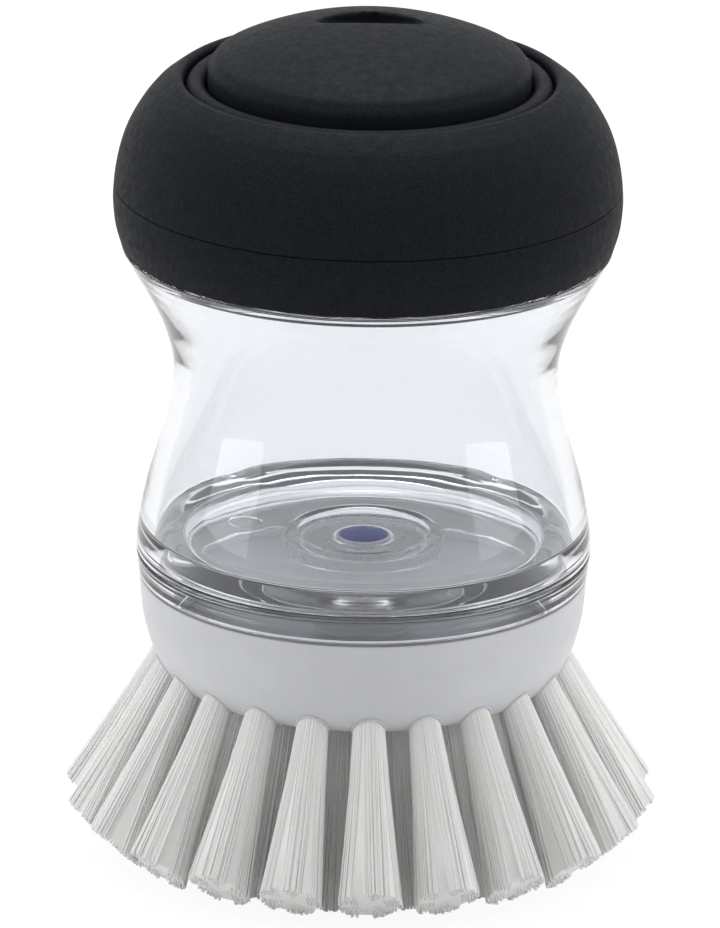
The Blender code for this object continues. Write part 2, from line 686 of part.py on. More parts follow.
def make_tuft_mesh(name, ring, tilt, tools):
    """One tuft of a ring: its strands, fused at the root to the round slice that fills its hole."""
    to_local = tuft_place(ring, tilt, 0).inverted()
    if ring == 0:
        length, trim_tilt, tip_radius = OUTER_TUFT_LENGTH, OUTER_TRIM_TILT, OUTER_STRAND_TIP_RADIUS
    else:
        length, trim_tilt, tip_radius = underside_z / math.cos(tilt), 0, STRAND_TIP_RADIUS
    tip = Vector((0, 0, length))
    trim_normal = to_local.to_3x3() @ Vector((math.sin(trim_tilt), 0, -math.cos(trim_tilt)))
    spread = TUFT_RADIUS * tip_radius / STRAND_ROOT_RADIUS
    uncut_length = length + FLAT_CUT_DEPTH + spread * abs(math.tan(trim_tilt - tilt))
    strands = make_strands(name + "_strands", uncut_length, tip_radius, tip, trim_normal, tools)
    shape = bmesh.new()
    plug_length = TUFT_DEPTH + TUFT_COLLAR
    bmesh.ops.create_cone(
        shape, cap_ends=True, segments=TUFT_SIDES, radius1=TUFT_RADIUS, radius2=TUFT_RADIUS,
        depth=plug_length, matrix=Matrix.Translation((0, 0, TUFT_COLLAR - plug_length / 2)),
    )
    tuft = object_from(name, shape, tools)
    combine(tuft, strands, "UNION")
    mesh = tuft.data
    bpy.data.objects.remove(tuft)
    return mesh


def make_tufts(group, tools, head, material):
    for name, ring, tilt, turns in tuft_rings():
        mesh = make_tuft_mesh(name, ring, tilt, tools)
        mesh.materials.append(material)
        for number, turn in enumerate(turns, start=1):
            tuft = bpy.data.objects.new(f"{name}_{number:02d}", mesh)
            group.objects.link(tuft)
            tuft.parent = head
            tuft.matrix_local = tuft_place(ring, tilt, turn)


def axis_empty(name, pieces, group, parent=None):
    """An empty on the brush's axis, which carries the pieces that move together."""
    empty = bpy.data.objects.new(name, None)
    group.objects.link(empty)
    empty.parent = parent
    for piece in pieces:
        piece.parent = empty
    return empty


def build():
    clear_scene()
    group = collection_named("palm_brush")
    tools = collection_named("cutters")
    black_grip = make_material("black_soft_grip", (0.018, 0.021, 0.026), 0.62)
    black_core = make_material("black_core_plastic", (0.03, 0.03, 0.033), 0.45)
    clear = make_material("clear_plastic", (0.86, 0.90, 0.93), 0.06, alpha=0.35)
    white = make_material("white_plastic", (0.83, 0.85, 0.86), 0.38)
    blue = make_material("blue_silicone", (0.04, 0.09, 0.42), 0.45)
    grey_seal = make_material("seal_silicone", (0.62, 0.64, 0.66), 0.55)
    bristle = make_material("nylon_bristle", (0.80, 0.82, 0.80), 0.42)

    tank = make_tank(group, tools)
    base = make_base(group, tools)
    valve = make_valve(group)
    retainer = plain_ring(
        "valve_retainer", valve_hole_radius, retainer_radius, retainer_z, retainer_top_z,
        group, SMALL_ROUND_STEPS,
    )
    gasket = plain_ring(
        "cap_gasket", NECK_INNER_RADIUS, neck_radius, neck_top_z + FIT_GAP,
        deck_under_z - FIT_GAP, group,
    )
    seal = plain_ring(
        "head_seal", spigot_inner_radius, spigot_radius, bowl_floor_z + FIT_GAP,
        spigot_end_z - FIT_GAP, group,
    )
    core = make_core(group, tools)
    ring = make_grip_ring(group)
    shell = make_shell(group)
    button = make_button(group, tools)
    button_core = make_button_core(group)
    bellows = make_bellows(group)
    head = make_head(group, tools)

    finishes = [
        (clear, [tank, base]), (blue, [valve]), (white, [retainer, head]),
        (grey_seal, [gasket, seal]), (black_core, [core, button_core]),
        (black_grip, [ring, shell, button, bellows]),
    ]
    for material, pieces in finishes:
        for piece in pieces:
            piece.data.materials.append(material)

    reservoir_axis = axis_empty("reservoir_axis", [tank, base, valve, retainer], group)
    knob_axis = axis_empty("knob_axis", [gasket, core, ring, shell, bellows], group, reservoir_axis)
    axis_empty("button_axis", [button, button_core], group, knob_axis)
    axis_empty("head_axis", [seal, head], group, reservoir_axis)
    make_tufts(group, tools, head, bristle)


build()
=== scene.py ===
"""Looks of the soap-dispensing palm brush.

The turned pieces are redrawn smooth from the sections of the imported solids, with rounded corners.
The plain strands of each tuft give way to fine filaments, and every surface gets its own finish.
Metres, +Z up, origin on the brush's axis at the plane that the bristle tips stand on.
"""

import math
import random

import bmesh
import bpy
from mathutils import Matrix, Vector
from mathutils.bvhtree import BVHTree


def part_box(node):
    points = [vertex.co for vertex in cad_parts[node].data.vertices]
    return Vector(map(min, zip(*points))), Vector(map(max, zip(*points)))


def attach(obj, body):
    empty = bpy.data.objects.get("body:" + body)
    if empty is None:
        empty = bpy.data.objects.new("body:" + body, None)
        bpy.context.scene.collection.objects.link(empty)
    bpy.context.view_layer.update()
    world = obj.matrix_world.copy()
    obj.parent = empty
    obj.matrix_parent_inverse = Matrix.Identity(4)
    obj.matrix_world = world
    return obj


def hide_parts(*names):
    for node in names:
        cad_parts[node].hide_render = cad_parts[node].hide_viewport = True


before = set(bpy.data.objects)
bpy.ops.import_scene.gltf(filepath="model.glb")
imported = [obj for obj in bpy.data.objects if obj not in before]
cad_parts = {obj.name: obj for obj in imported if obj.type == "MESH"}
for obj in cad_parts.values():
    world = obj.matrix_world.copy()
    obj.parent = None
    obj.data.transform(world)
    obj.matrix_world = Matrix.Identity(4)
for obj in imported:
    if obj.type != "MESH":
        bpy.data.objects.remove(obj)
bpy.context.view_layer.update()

# Turned pieces
TURN_STEPS = 160
CURVE_PIECES = 4
CORNER_TURN = math.radians(50.0)
CORNER_POINTS = 3
CORNER_SHARE = 0.45
STRAIGHT_TURN = math.radians(0.5)
WELD_DISTANCE = 0.00001
SUPPORT_REACH = 0.00004
SUPPORT_SHARE = 0.04

# Turns about the axis at which sections are taken, the first for the pieces with lugs
CLEAR_SIDE = math.radians(67.5)
LEFT_SIDE = math.radians(180.0)

# Corner radii
GRIP_ROUND = 0.0001
BUTTON_ROUND = 0.0004
BELLOWS_ROUND = 0.0002
CLEAR_ROUND = 0.0003
HEAD_ROUND = 0.0004
VALVE_ROUND = 0.0002

# Grip
SEAM_CLOSER = 0.0002

# Bellows
BELLOWS_GAP = 0.0003
BELLOWS_SPLIT = 0.0002

# Scoop in the top of the button
SCOOP_RADIUS = 0.0084
SCOOP_BACK = 0.0045
SCOOP_FRONT = -0.0013
SCOOP_TILT = math.radians(21.0)
SCOOP_VOXEL = 0.0003
SCOOP_SOFTNESS = 0.5
SCOOP_SOFTENINGS = 3

# Gate mark in the clear dish
GATE_MARK_RADIUS = 0.0022
GATE_MARK_DEPTH = 0.00025
GATE_MARK_REACH = 0.0150
GATE_MARK_TURN = math.radians(172.0)

# Tank: corners of its outline in the solids and where the photograph shows them, as (radius, height)
TANK_MOVES = (
    ((0.02561, 0.0449), (0.02598, 0.0428)),
    ((0.02625, 0.0449), (0.02625, 0.0428)),
    ((0.02718, 0.0770), (0.02790, 0.0782)),
    ((0.02230, 0.0770), (0.02230, 0.0782)),
)

# Dish, and the matt patch on the underside of the clear base
DISH_FLOOR = 0.0413
DISH_RIM = 0.0425
DISH_EDGE = 0.02385
GRAIN_TOP = 0.0393
GRAIN_EDGE = 0.0150

# Valve
PLUG_RADIUS = 0.0031
SLIT_LENGTH = 0.0042
SLIT_WIDTH = 0.00009
SLIT_DEPTH = 0.0004

# Lugs, three to a ring
LUGS = 3
LUG_STEPS = 24
LUG_ROUND = 0.00015

# Each ring's inner and outer radius, thickness, arc, lead of the screw line, height of the middle
NECK_LUG = (0.02445, 0.02550, 0.0014, math.radians(60.0), 0.0120, 0.08448)
SPIGOT_LUG = (0.02500, 0.02605, 0.0009, math.radians(20.0), 0.0200, 0.03378)
HEAD_LUG = (0.02535, 0.02650, 0.0009, math.radians(20.0), 0.0200, 0.03498)

# Tufts: root radius and height, tilt, length, tilt of the cut, how many, turn of the first in steps
TUFT_RINGS = {
    "outer": (0.02440, 0.0242, math.radians(26.5), 0.0226, math.radians(44.0), 22, 0.0),
    "middle": (0.01700, 0.0230, math.radians(13.0), 0.0236, 0.0, 16, 0.5),
    "inner": (0.01049, 0.0230, math.radians(6.0), 0.0231, 0.0, 8, 0.0),
}
HEAD_TURN = math.radians(2.3)
TUFT_RADIUS = 0.0019
TUFT_VARIANTS = 4

# Filaments: an outer layer in full, and the ends of the inner ones
FILAMENTS = 100
CORE_FILAMENTS = 70
FILAMENT_RADIUS = 0.00014
FILAMENT_SIDES = 5
FILAMENT_RINGS = 4
FILAMENT_RAGGED = 0.0003
FILAMENT_STRAY = 0.00018
FILAMENT_EDGE = math.pi / 2.2
SHELL_SHARE = 0.92
GOLDEN_TURN = math.pi * (3 - math.sqrt(5))
ROOT_DEPTH = 0.0015

# Fluted body inside the outer layer
BUNDLE_SIDES = 40
BUNDLE_SHARE = 0.965
BUNDLE_SHORTER = 0.0006

# How the filaments fan out and gather in clumps
FAN_SHARE = 2.6
FAN_CURVE = 1.15
LEAN_CURVE = 1.5
CLUMPS = 5
CLUMP_SHIFT = 0.6
CLUMP_PLACE = 0.62
CLUMP_PULL = 0.38
CLUMP_RAGGED = 0.0005

# Search for the point where the cut meets a filament, in shares of the tuft's length
CUT_SEARCH = (0.5, 1.5)
CUT_HALVINGS = 18

# Raised rims round the tufts
COLLAR_RADIUS = 0.00020
COLLAR_STEPS = 28
COLLAR_SIDES = 6
COLLAR_START = 0.006

# Finishes: the middle of a noise's range
NOISE_LOW = 0.3
NOISE_HIGH = 0.7

# Light and floor
ROOM_LIGHT = 0.43
FLOOR_SIZE = 6
FLOOR_COLOUR = (0.86, 0.86, 0.86, 1)
FLOOR_ROUGHNESS = 0.9
WHITE = (1, 1, 1, 1)
FLOOR_GLOW = 1.08
FLOOR_GLOW_SHARE = 0.85
SIDE_LAMP_POWER = 2.6
SIDE_LAMP_OUT = 0.80
SIDE_LAMP_PLACE = (-0.15, 0.30)
SIDE_LAMP_SIZE = (0.5, 0.7)
TOP_LAMP_POWER = 5.6
TOP_LAMP_PLACE = (0, 0.25, 0.9)
TOP_LAMP_SIZE = (0.6, 0.6)
LAMP_AIM = (0, 0, 0.05)

# Camera, as the photograph has it
CAMERA_DISTANCE = 1.25
CAMERA_ELEVATION = math.radians(19.4)
CAMERA_ROLL = math.radians(0.77)
CAMERA_AIM = Vector((-0.00056, 0, 0.050))
PICTURE_HEIGHT = 928
PIXELS_AT_AIM = 10000
SENSOR = 36.0
NEAREST_SEEN = 0.01


# Outlines of the turned pieces

def section(node, side):
    """The outline of a CAD node in the half plane at one turn about the axis, as (radius, height)."""
    shape = bmesh.new()
    shape.from_mesh(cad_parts[node].data)
    bmesh.ops.remove_doubles(shape, verts=shape.verts, dist=WELD_DISTANCE)
    bmesh.ops.rotate(shape, verts=shape.verts, cent=(0, 0, 0), matrix=Matrix.Rotation(-side, 3, "Z"))
    cut = bmesh.ops.bisect_plane(
        shape, geom=[*shape.verts, *shape.edges, *shape.faces], dist=WELD_DISTANCE / 10,
        plane_co=(0, 0, 0), plane_no=(0, 1, 0),
    )
    neighbours = {}
    for edge in cut["geom_cut"]:
        if isinstance(edge, bmesh.types.BMEdge) and all(v.co.x > -WELD_DISTANCE for v in edge.verts):
            for here, there in (edge.verts, reversed(edge.verts)):
                neighbours.setdefault(here, []).append(there)
    ends = [vertex for vertex, others in neighbours.items() if len(others) == 1]
    here = max(ends or neighbours, key=lambda vertex: vertex.co.z)
    line, seen = [], set()
    while here is not None:
        seen.add(here)
        line.append((max(here.co.x, 0.0), here.co.z))
        here = next((other for other in neighbours[here] if other not in seen), None)
    shape.free()
    return line, not ends


def turn_at(before, here, after):
    """How far an outline turns at a point, and zero where a side is too short to tell."""
    first = Vector(here) - Vector(before)
    second = Vector(after) - Vector(here)
    if first.length < WELD_DISTANCE or second.length < WELD_DISTANCE:
        return 0.0
    return first.angle(second)


def without_straight_points(line, closed):
    """An outline without the points that lie on its straight stretches."""
    kept = []
    for number, here in enumerate(line):
        if not closed and number in (0, len(line) - 1):
            kept.append(here)
            continue
        before = kept[-1] if kept else line[-1]
        after = line[(number + 1) % len(line)]
        if turn_at(before, here, after) > STRAIGHT_TURN:
            kept.append(here)
    return kept


def refined(line, closed, radius):
    """Smooths the curved stretches of an outline and rounds its corners to a radius.

    A point just past each end of a rounding keeps the shading of the flat beside it flat.
    """
    line = without_straight_points(line, closed)
    count = len(line)
    points = [Vector(point) for point in line]
    corner, way = [], []
    for number, here in enumerate(points):
        at_end = not closed and number in (0, count - 1)
        before = points[max(number - 1, 0) if not closed else number - 1]
        after = points[min(number + 1, count - 1) if not closed else (number + 1) % count]
        corner.append(not at_end and turn_at(before, here, after) > CORNER_TURN)
        way.append(Vector((1 if number == 0 else -1, 0)) if at_end else (after - before).normalized())
    fine = []
    for number in range(count if closed else count - 1):
        here, there = points[number], points[(number + 1) % count]
        span = there - here
        leave = span if corner[number] else way[number] * span.length
        reach = span if corner[(number + 1) % count] else way[(number + 1) % count] * span.length
        straight = corner[number] and corner[(number + 1) % count]
        fine.append((here, corner[number]))
        for piece in range(1, 1 if straight else CURVE_PIECES):
            t = piece / CURVE_PIECES
            fine.append((
                (2 * t ** 3 - 3 * t ** 2 + 1) * here + (t ** 3 - 2 * t ** 2 + t) * leave
                + (3 * t ** 2 - 2 * t ** 3) * there + (t ** 3 - t ** 2) * reach, False,
            ))
    if not closed:
        fine.append((points[-1], False))
    rounded = []
    for number, (here, is_corner) in enumerate(fine):
        if not is_corner:
            rounded.append(here)
            continue
        before, after = fine[number - 1][0], fine[(number + 1) % len(fine)][0]
        near = min((before - here).length, (after - here).length)
        reach = min(radius, CORNER_SHARE * near)
        support = min(SUPPORT_REACH, SUPPORT_SHARE * near)
        back, ahead = (before - here).normalized(), (after - here).normalized()
        rounded.append(here + back * (reach + support))
        for step in range(CORNER_POINTS + 1):
            t = step / CORNER_POINTS
            rounded.append(here + (1 - t) ** 2 * reach * back + t ** 2 * reach * ahead)
        rounded.append(here + ahead * (reach + support))
    return [(max(point.x, 0.0), point.y) for point in rounded]


def turned(name, line, closed):
    """A closed outline, or one that starts and ends on the axis, turned about the axis."""
    links = [(number, number + 1) for number in range(len(line) - 1)]
    if closed:
        links.append((len(line) - 1, 0))
    mesh = bpy.data.meshes.new(name)
    mesh.from_pydata([(radius, 0, height) for radius, height in line], links, [])
    piece = bpy.data.objects.new(name, mesh)
    bpy.context.scene.collection.objects.link(piece)
    turn = piece.modifiers.new("turn", "SCREW")
    turn.steps = TURN_STEPS
    turn.render_steps = TURN_STEPS
    turn.use_merge_vertices = True
    turn.merge_threshold = WELD_DISTANCE
    settle(piece)
    shape = bmesh.new()
    shape.from_mesh(piece.data)
    bmesh.ops.recalc_face_normals(shape, faces=shape.faces)
    shape.to_mesh(piece.data)
    shape.free()
    piece.data.shade_smooth()
    return piece


def settle(piece):
    """Turns a piece's modifiers into its mesh."""
    view = bpy.context.evaluated_depsgraph_get()
    mesh = bpy.data.meshes.new_from_object(piece.evaluated_get(view))
    piece.modifiers.clear()
    piece.data = mesh
    mesh.name = piece.name
    mesh.shade_smooth()


def redrawn(name, node, side, radius, material, body, change=None):
    """A smooth copy of a turned CAD node, which takes its place, its outline changed if need be."""
    line, closed = section(node, side)
    if change:
        line = change(line)
    piece = turned(name, refined(line, closed, radius), closed)
    piece.data.materials.append(material)
    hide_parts(node)
    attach(piece, body)
    return piece


# Finishes

def new_material(name, colour, roughness, **sockets):
    """A material with a colour, a roughness and whatever else of its shader is given."""
    material = bpy.data.materials.new(name)
    material.use_nodes = True
    shader = material.node_tree.nodes["Principled BSDF"]
    shader.inputs["Base Color"].default_value = (*colour, 1.0)
    shader.inputs["Roughness"].default_value = roughness
    for socket, value in sockets.items():
        shader.inputs[socket.replace("_", " ")].default_value = value
    return material


def noise(material, scale, detail=2.0, stretch=(1, 1, 1)):
    """Noise in the piece's own coordinates. Its scale is in patches to the metre."""
    tree = material.node_tree
    place = tree.nodes.new("ShaderNodeTexCoord")
    mapping = tree.nodes.new("ShaderNodeMapping")
    mapping.inputs["Scale"].default_value = stretch
    texture = tree.nodes.new("ShaderNodeTexNoise")
    texture.inputs["Scale"].default_value = scale
    texture.inputs["Detail"].default_value = detail
    tree.links.new(place.outputs["Object"], mapping.inputs["Vector"])
    tree.links.new(mapping.outputs["Vector"], texture.inputs["Vector"])
    return texture.outputs["Fac"]


def spread(material, value, low, high):
    """Maps the middle of a noise's range onto low to high."""
    node = material.node_tree.nodes.new("ShaderNodeMapRange")
    node.inputs["From Min"].default_value = NOISE_LOW
    node.inputs["From Max"].default_value = NOISE_HIGH
    node.inputs["To Min"].default_value = low
    node.inputs["To Max"].default_value = high
    material.node_tree.links.new(value, node.inputs["Value"])
    return node.outputs["Result"]


def vary_colour(material, value, dark, light):
    """Runs the colour from dark to light with a noise."""
    tree = material.node_tree
    mix = tree.nodes.new("ShaderNodeMix")
    mix.data_type = "RGBA"
    mix.inputs["A"].default_value = (*dark, 1.0)
    mix.inputs["B"].default_value = (*light, 1.0)
    tree.links.new(spread(material, value, 0.0, 1.0), mix.inputs["Factor"])
    tree.links.new(mix.outputs["Result"], tree.nodes["Principled BSDF"].inputs["Base Color"])


def vary_roughness(material, value, low, high):
    """Runs the roughness from low to high with a noise."""
    tree = material.node_tree
    shader = tree.nodes["Principled BSDF"]
    tree.links.new(spread(material, value, low, high), shader.inputs["Roughness"])


def add_bump(material, value, depth, strength):
    """Lets a noise tilt the shading, as a relief of some depth would."""
    tree = material.node_tree
    bump = tree.nodes.new("ShaderNodeBump")
    bump.inputs["Strength"].default_value = strength
    bump.inputs["Distance"].default_value = depth
    tree.links.new(value, bump.inputs["Height"])
    tree.links.new(bump.outputs["Normal"], tree.nodes["Principled BSDF"].inputs["Normal"])


def soft_grip():
    """Black rubber with a fine moulded grain."""
    material = new_material("black_soft_grip", (0.008, 0.009, 0.011), 0.6, Specular_IOR_Level=0.1)
    grain = noise(material, 3200, 3.0)
    vary_colour(material, grain, (0.003, 0.0036, 0.0052), (0.010, 0.0116, 0.0152))
    vary_roughness(material, noise(material, 900), 0.54, 0.68)
    add_bump(material, grain, 0.00009, 0.9)
    return material


def core_plastic():
    """Black moulded plastic, satin."""
    material = new_material("black_core_plastic", (0.02, 0.02, 0.022), 0.42)
    vary_colour(material, noise(material, 700), (0.016, 0.016, 0.018), (0.026, 0.026, 0.029))
    vary_roughness(material, noise(material, 350), 0.38, 0.48)
    add_bump(material, noise(material, 1800), 0.00002, 0.5)
    return material


def clear_plastic():
    """See-through moulded plastic with a faint flow in its walls."""
    material = new_material(
        "clear_plastic", (0.898, 0.912, 0.940), 0.02, IOR=1.5, Transmission_Weight=1.0,
    )
    vary_roughness(material, noise(material, 500), 0.0, 0.04)
    add_bump(material, noise(material, 160, 1.0, (1, 1, 2.5)), 0.00004, 0.12)
    return material


def grained_clear():
    """The same plastic where the mould was left matt, under the dish."""
    material = new_material(
        "grained_clear_plastic", (0.898, 0.912, 0.940), 0.3, IOR=1.5, Transmission_Weight=1.0,
    )
    vary_roughness(material, noise(material, 900), 0.24, 0.38)
    add_bump(material, noise(material, 3500), 0.000006, 0.15)
    return material


def white_plastic():
    """Moulded plastic that lets a little light in."""
    material = new_material(
        "white_plastic", (0.59, 0.60, 0.62), 0.36, Subsurface_Weight=0.12, Subsurface_Scale=0.002,
    )
    vary_colour(material, noise(material, 260), (0.575, 0.585, 0.605), (0.60, 0.61, 0.63))
    vary_roughness(material, noise(material, 500), 0.32, 0.42)
    add_bump(material, noise(material, 1500), 0.000012, 0.5)
    return material


def blue_silicone():
    """The valve's plug."""
    material = new_material("blue_silicone", (0.008, 0.03, 0.27), 0.42, Specular_IOR_Level=0.2)
    vary_colour(material, noise(material, 1400), (0.006, 0.024, 0.24), (0.011, 0.038, 0.31))
    vary_roughness(material, noise(material, 900), 0.36, 0.5)
    return material


def pale_silicone():
    """The valve's rim, which shows through the clear floor."""
    material = new_material("pale_silicone", (0.62, 0.56, 0.58), 0.5)
    vary_colour(material, noise(material, 1100), (0.58, 0.52, 0.55), (0.68, 0.62, 0.64))
    vary_roughness(material, noise(material, 700), 0.45, 0.6)
    return material


def seal_silicone():
    """The gasket and the ring seal."""
    material = new_material("seal_silicone", (0.60, 0.62, 0.64), 0.55)
    vary_colour(material, noise(material, 900), (0.56, 0.58, 0.60), (0.65, 0.67, 0.69))
    vary_roughness(material, noise(material, 600), 0.5, 0.62)
    return material


def nylon():
    """White nylon filament: faint streaks run along the strands."""
    material = new_material("nylon_bristle", (0.88, 0.885, 0.872), 0.45, Specular_IOR_Level=0.35)
    streaks = noise(material, 2200, 1.0, (1, 1, 0.03))
    vary_colour(material, streaks, (0.86, 0.866, 0.85), (0.90, 0.905, 0.892))
    vary_roughness(material, noise(material, 1500), 0.36, 0.48)
    return material


# Grip and button

def close_seam(line):
    """The lower band's outline, raised to leave only a hair line under the shell."""
    top = max(height for _, height in line)
    return [
        (radius, height + (SEAM_CLOSER if height > top - WELD_DISTANCE else 0.0))
        for radius, height in line
    ]


def add_scoop(button):
    """Cuts the plain scoop behind the middle of the button's top and softens its edges."""
    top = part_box("press_button")[1][2]
    shape = bmesh.new()
    middle = Matrix.Translation((0, SCOOP_BACK - SCOOP_RADIUS, top))
    bmesh.ops.create_cone(
        shape, cap_ends=True, segments=TURN_STEPS, radius1=SCOOP_RADIUS, radius2=SCOOP_RADIUS,
        depth=2 * SCOOP_RADIUS, matrix=middle,
    )
    slope = Vector((0, math.sin(SCOOP_TILT), math.cos(SCOOP_TILT)))
    cut = bmesh.ops.bisect_plane(
        shape, geom=[*shape.verts, *shape.edges, *shape.faces],
        plane_co=(0, SCOOP_FRONT, top), plane_no=slope, clear_inner=True,
    )
    rim = [part for part in cut["geom_cut"] if isinstance(part, bmesh.types.BMEdge)]
    bmesh.ops.holes_fill(shape, edges=rim)
    carve(button, shape)
    even = button.modifiers.new("even", "REMESH")
    even.mode = "VOXEL"
    even.voxel_size = SCOOP_VOXEL
    soften = button.modifiers.new("soften", "SMOOTH")
    soften.factor = SCOOP_SOFTNESS
    soften.iterations = SCOOP_SOFTENINGS
    material = button.data.materials[0]
    settle(button)
    button.data.materials.clear()
    button.data.materials.append(material)


def split_bellows():
    """The lip of the bellows stays with the grip, and its inner flange goes down with the button."""
    line, _ = section("button_bellows", LEFT_SIDE)
    lip_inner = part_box("press_button")[1][0] + BELLOWS_GAP
    foot = min(height for _, height in line)
    top = max(height for radius, height in line if radius < lip_inner - BELLOWS_SPLIT)
    inner = min(radius for radius, _ in line)
    lip = [point for point in line if point[0] > lip_inner - WELD_DISTANCE]
    start = min(range(len(lip)), key=lambda number: sum(lip[number]))
    outer = lip_inner - BELLOWS_SPLIT
    return lip[start:] + lip[:start], [(inner, top), (outer, top), (outer, foot), (inner, foot)]


# Clear tank and base

def even_tank(line):
    """The tank's outline with its wall run on evenly, to a lower seat and to a thinner shoulder."""
    for place, new_place in TANK_MOVES:
        gaps = [(Vector(point) - Vector(place)).length for point in line]
        line[gaps.index(min(gaps))] = new_place
    return line


def flat_dish(line):
    """The base's outline with its dish drawn out flat to a low rim."""
    rim = max(height for _, height in line)
    edge = min(radius for radius, height in line if height > rim - WELD_DISTANCE)
    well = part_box("dispensing_valve")[1][0]
    flat = []
    for radius, height in line:
        if height > DISH_FLOOR:
            rise = (height - DISH_FLOOR) / (rim - DISH_FLOOR)
            height = DISH_FLOOR + rise * (DISH_RIM - DISH_FLOOR)
            if radius < edge + WELD_DISTANCE:
                radius = well + (radius - well) * (DISH_EDGE - well) / (edge - well)
        flat.append((radius, height))
    return flat


# Lugs, gate mark and slit

def make_lugs(name, lug, material, body):
    """Equal lugs around a wall, each swept along a right-handed screw line."""
    inner, outer, thickness, arc, lead, middle = lug
    half = thickness / 2
    line = refined([(inner, -half), (outer, -half), (outer, half), (inner, half)], True, LUG_ROUND)
    shape = bmesh.new()
    for number in range(LUGS):
        rings = []
        for step in range(LUG_STEPS + 1):
            turn = arc * (step / LUG_STEPS - 0.5)
            around = Matrix.Rotation(math.tau * number / LUGS + turn, 4, "Z")
            climb = middle + lead * turn / math.tau
            rings.append([
                shape.verts.new(around @ Vector((radius, 0, climb + height))) for radius, height in line
            ])
        join_rings(shape, rings)
        shape.faces.new(reversed(rings[0]))
        shape.faces.new(rings[-1])
    piece = piece_from(name, shape, material, body)
    piece.data.set_sharp_from_angle(angle=CORNER_TURN)


def join_rings(shape, rings):
    """Quads between each ring of points and the next."""
    for lower, upper in zip(rings, rings[1:]):
        for side, (here, above) in enumerate(zip(lower, upper)):
            after = (side + 1) % len(lower)
            shape.faces.new((here, lower[after], upper[after], above))


def piece_from(name, shape, material, body):
    """A smooth piece made from a finished bmesh, riding on a body."""
    bmesh.ops.recalc_face_normals(shape, faces=shape.faces)
    mesh = bpy.data.meshes.new(name)
    shape.to_mesh(mesh)
    shape.free()
    mesh.shade_smooth()
    mesh.materials.append(material)
    piece = bpy.data.objects.new(name, mesh)
    bpy.context.scene.collection.objects.link(piece)
    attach(piece, body)
    return piece


def carve(piece, shape):
    """Cuts a finished bmesh from a piece."""
    bmesh.ops.recalc_face_normals(shape, faces=shape.faces)
    mesh = bpy.data.meshes.new("tool")
    shape.to_mesh(mesh)
    shape.free()
    tool = bpy.data.objects.new("tool", mesh)
    bpy.context.scene.collection.objects.link(tool)
    cut = piece.modifiers.new("cut", "BOOLEAN")
    cut.object = tool
    cut.operation = "DIFFERENCE"
    cut.solver = "EXACT"
    material = piece.data.materials[0]
    settle(piece)
    piece.data.materials.clear()
    piece.data.materials.append(material)
    bpy.data.objects.remove(tool)


def add_gate_mark(base):
    """A shallow round mark in the dish, where the plastic was injected."""
    line = flat_dish(section("reservoir_base", CLEAR_SIDE)[0])
    reaches = (GATE_MARK_REACH - GATE_MARK_RADIUS, GATE_MARK_REACH + GATE_MARK_RADIUS)
    ends = [max(heights_at(line, reach)) for reach in reaches]
    slope = math.atan2(ends[1] - ends[0], 2 * GATE_MARK_RADIUS)
    middle = Matrix.Translation((GATE_MARK_REACH, 0, sum(ends) / 2))
    place = Matrix.Rotation(GATE_MARK_TURN, 4, "Z") @ middle @ Matrix.Rotation(-slope, 4, "Y")
    shape = bmesh.new()
    bmesh.ops.create_cone(
        shape, cap_ends=True, segments=TURN_STEPS // 2, radius1=GATE_MARK_RADIUS,
        radius2=GATE_MARK_RADIUS, depth=2 * GATE_MARK_DEPTH, matrix=place,
    )
    carve(base, shape)
    base.data.set_sharp_from_angle(angle=CORNER_TURN)


def heights_at(line, radius):
    """Where a closed outline passes a radius."""
    heights = []
    for here, there in zip(line, line[1:] + line[:1]):
        if (here[0] - radius) * (there[0] - radius) < 0:
            share = (radius - here[0]) / (there[0] - here[0])
            heights.append(here[1] + (there[1] - here[1]) * share)
    return heights


def add_slit(valve):
    """The crossed slits that the soap leaves through."""
    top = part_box("dispensing_valve")[1][2]
    for size in ((SLIT_LENGTH, SLIT_WIDTH), (SLIT_WIDTH, SLIT_LENGTH)):
        place = Matrix.Translation((0, 0, top)) @ Matrix.Diagonal((*size, 2 * SLIT_DEPTH, 1))
        shape = bmesh.new()
        bmesh.ops.create_cube(shape, size=1, matrix=place)
        carve(valve, shape)
    valve.data.set_sharp_from_angle(angle=CORNER_TURN)


# Tufts

def tuft_place(ring, turn):
    """A tuft's frame: its root on the head's underside, its Z out along the filaments."""
    root_radius, root_height, tilt = TUFT_RINGS[ring][:3]
    root = Matrix.Translation((root_radius, 0, root_height))
    return Matrix.Rotation(turn, 4, "Z") @ root @ Matrix.Rotation(math.pi - tilt, 4, "Y")


def tuft_turns(ring):
    """The turn of each tuft of a ring about the axis, from the front one on."""
    count, offset = TUFT_RINGS[ring][5:]
    return [HEAD_TURN - math.pi / 2 + math.tau * (number + offset) / count for number in range(count)]


def filament_line(ring, spot, lean, ragged):
    """The middle line of one filament, in the tuft's frame, from its root to where it is cut."""
    length, cut_tilt = TUFT_RINGS[ring][3:5]
    place = tuft_place(ring, 0)
    tip = place @ Vector((0, 0, length))

    def at(reach):
        share = reach / length
        across = spot * (1 + (FAN_SHARE - 1) * share ** FAN_CURVE) + lean * share ** LEAN_CURVE
        return Vector((across.x, across.y, reach))

    low, high = (share * length for share in CUT_SEARCH)
    for _ in range(CUT_HALVINGS):
        middle = (low + high) / 2
        end = place @ at(middle)
        if end.z > tip.z + (end.xy.length - tip.x) * math.tan(cut_tilt) + ragged:
            low = middle
        else:
            high = middle
    line = [Vector((spot.x, spot.y, -ROOT_DEPTH))]
    line += [at(low * step / (FILAMENT_RINGS - 1)) for step in range(1, FILAMENT_RINGS)]
    return line


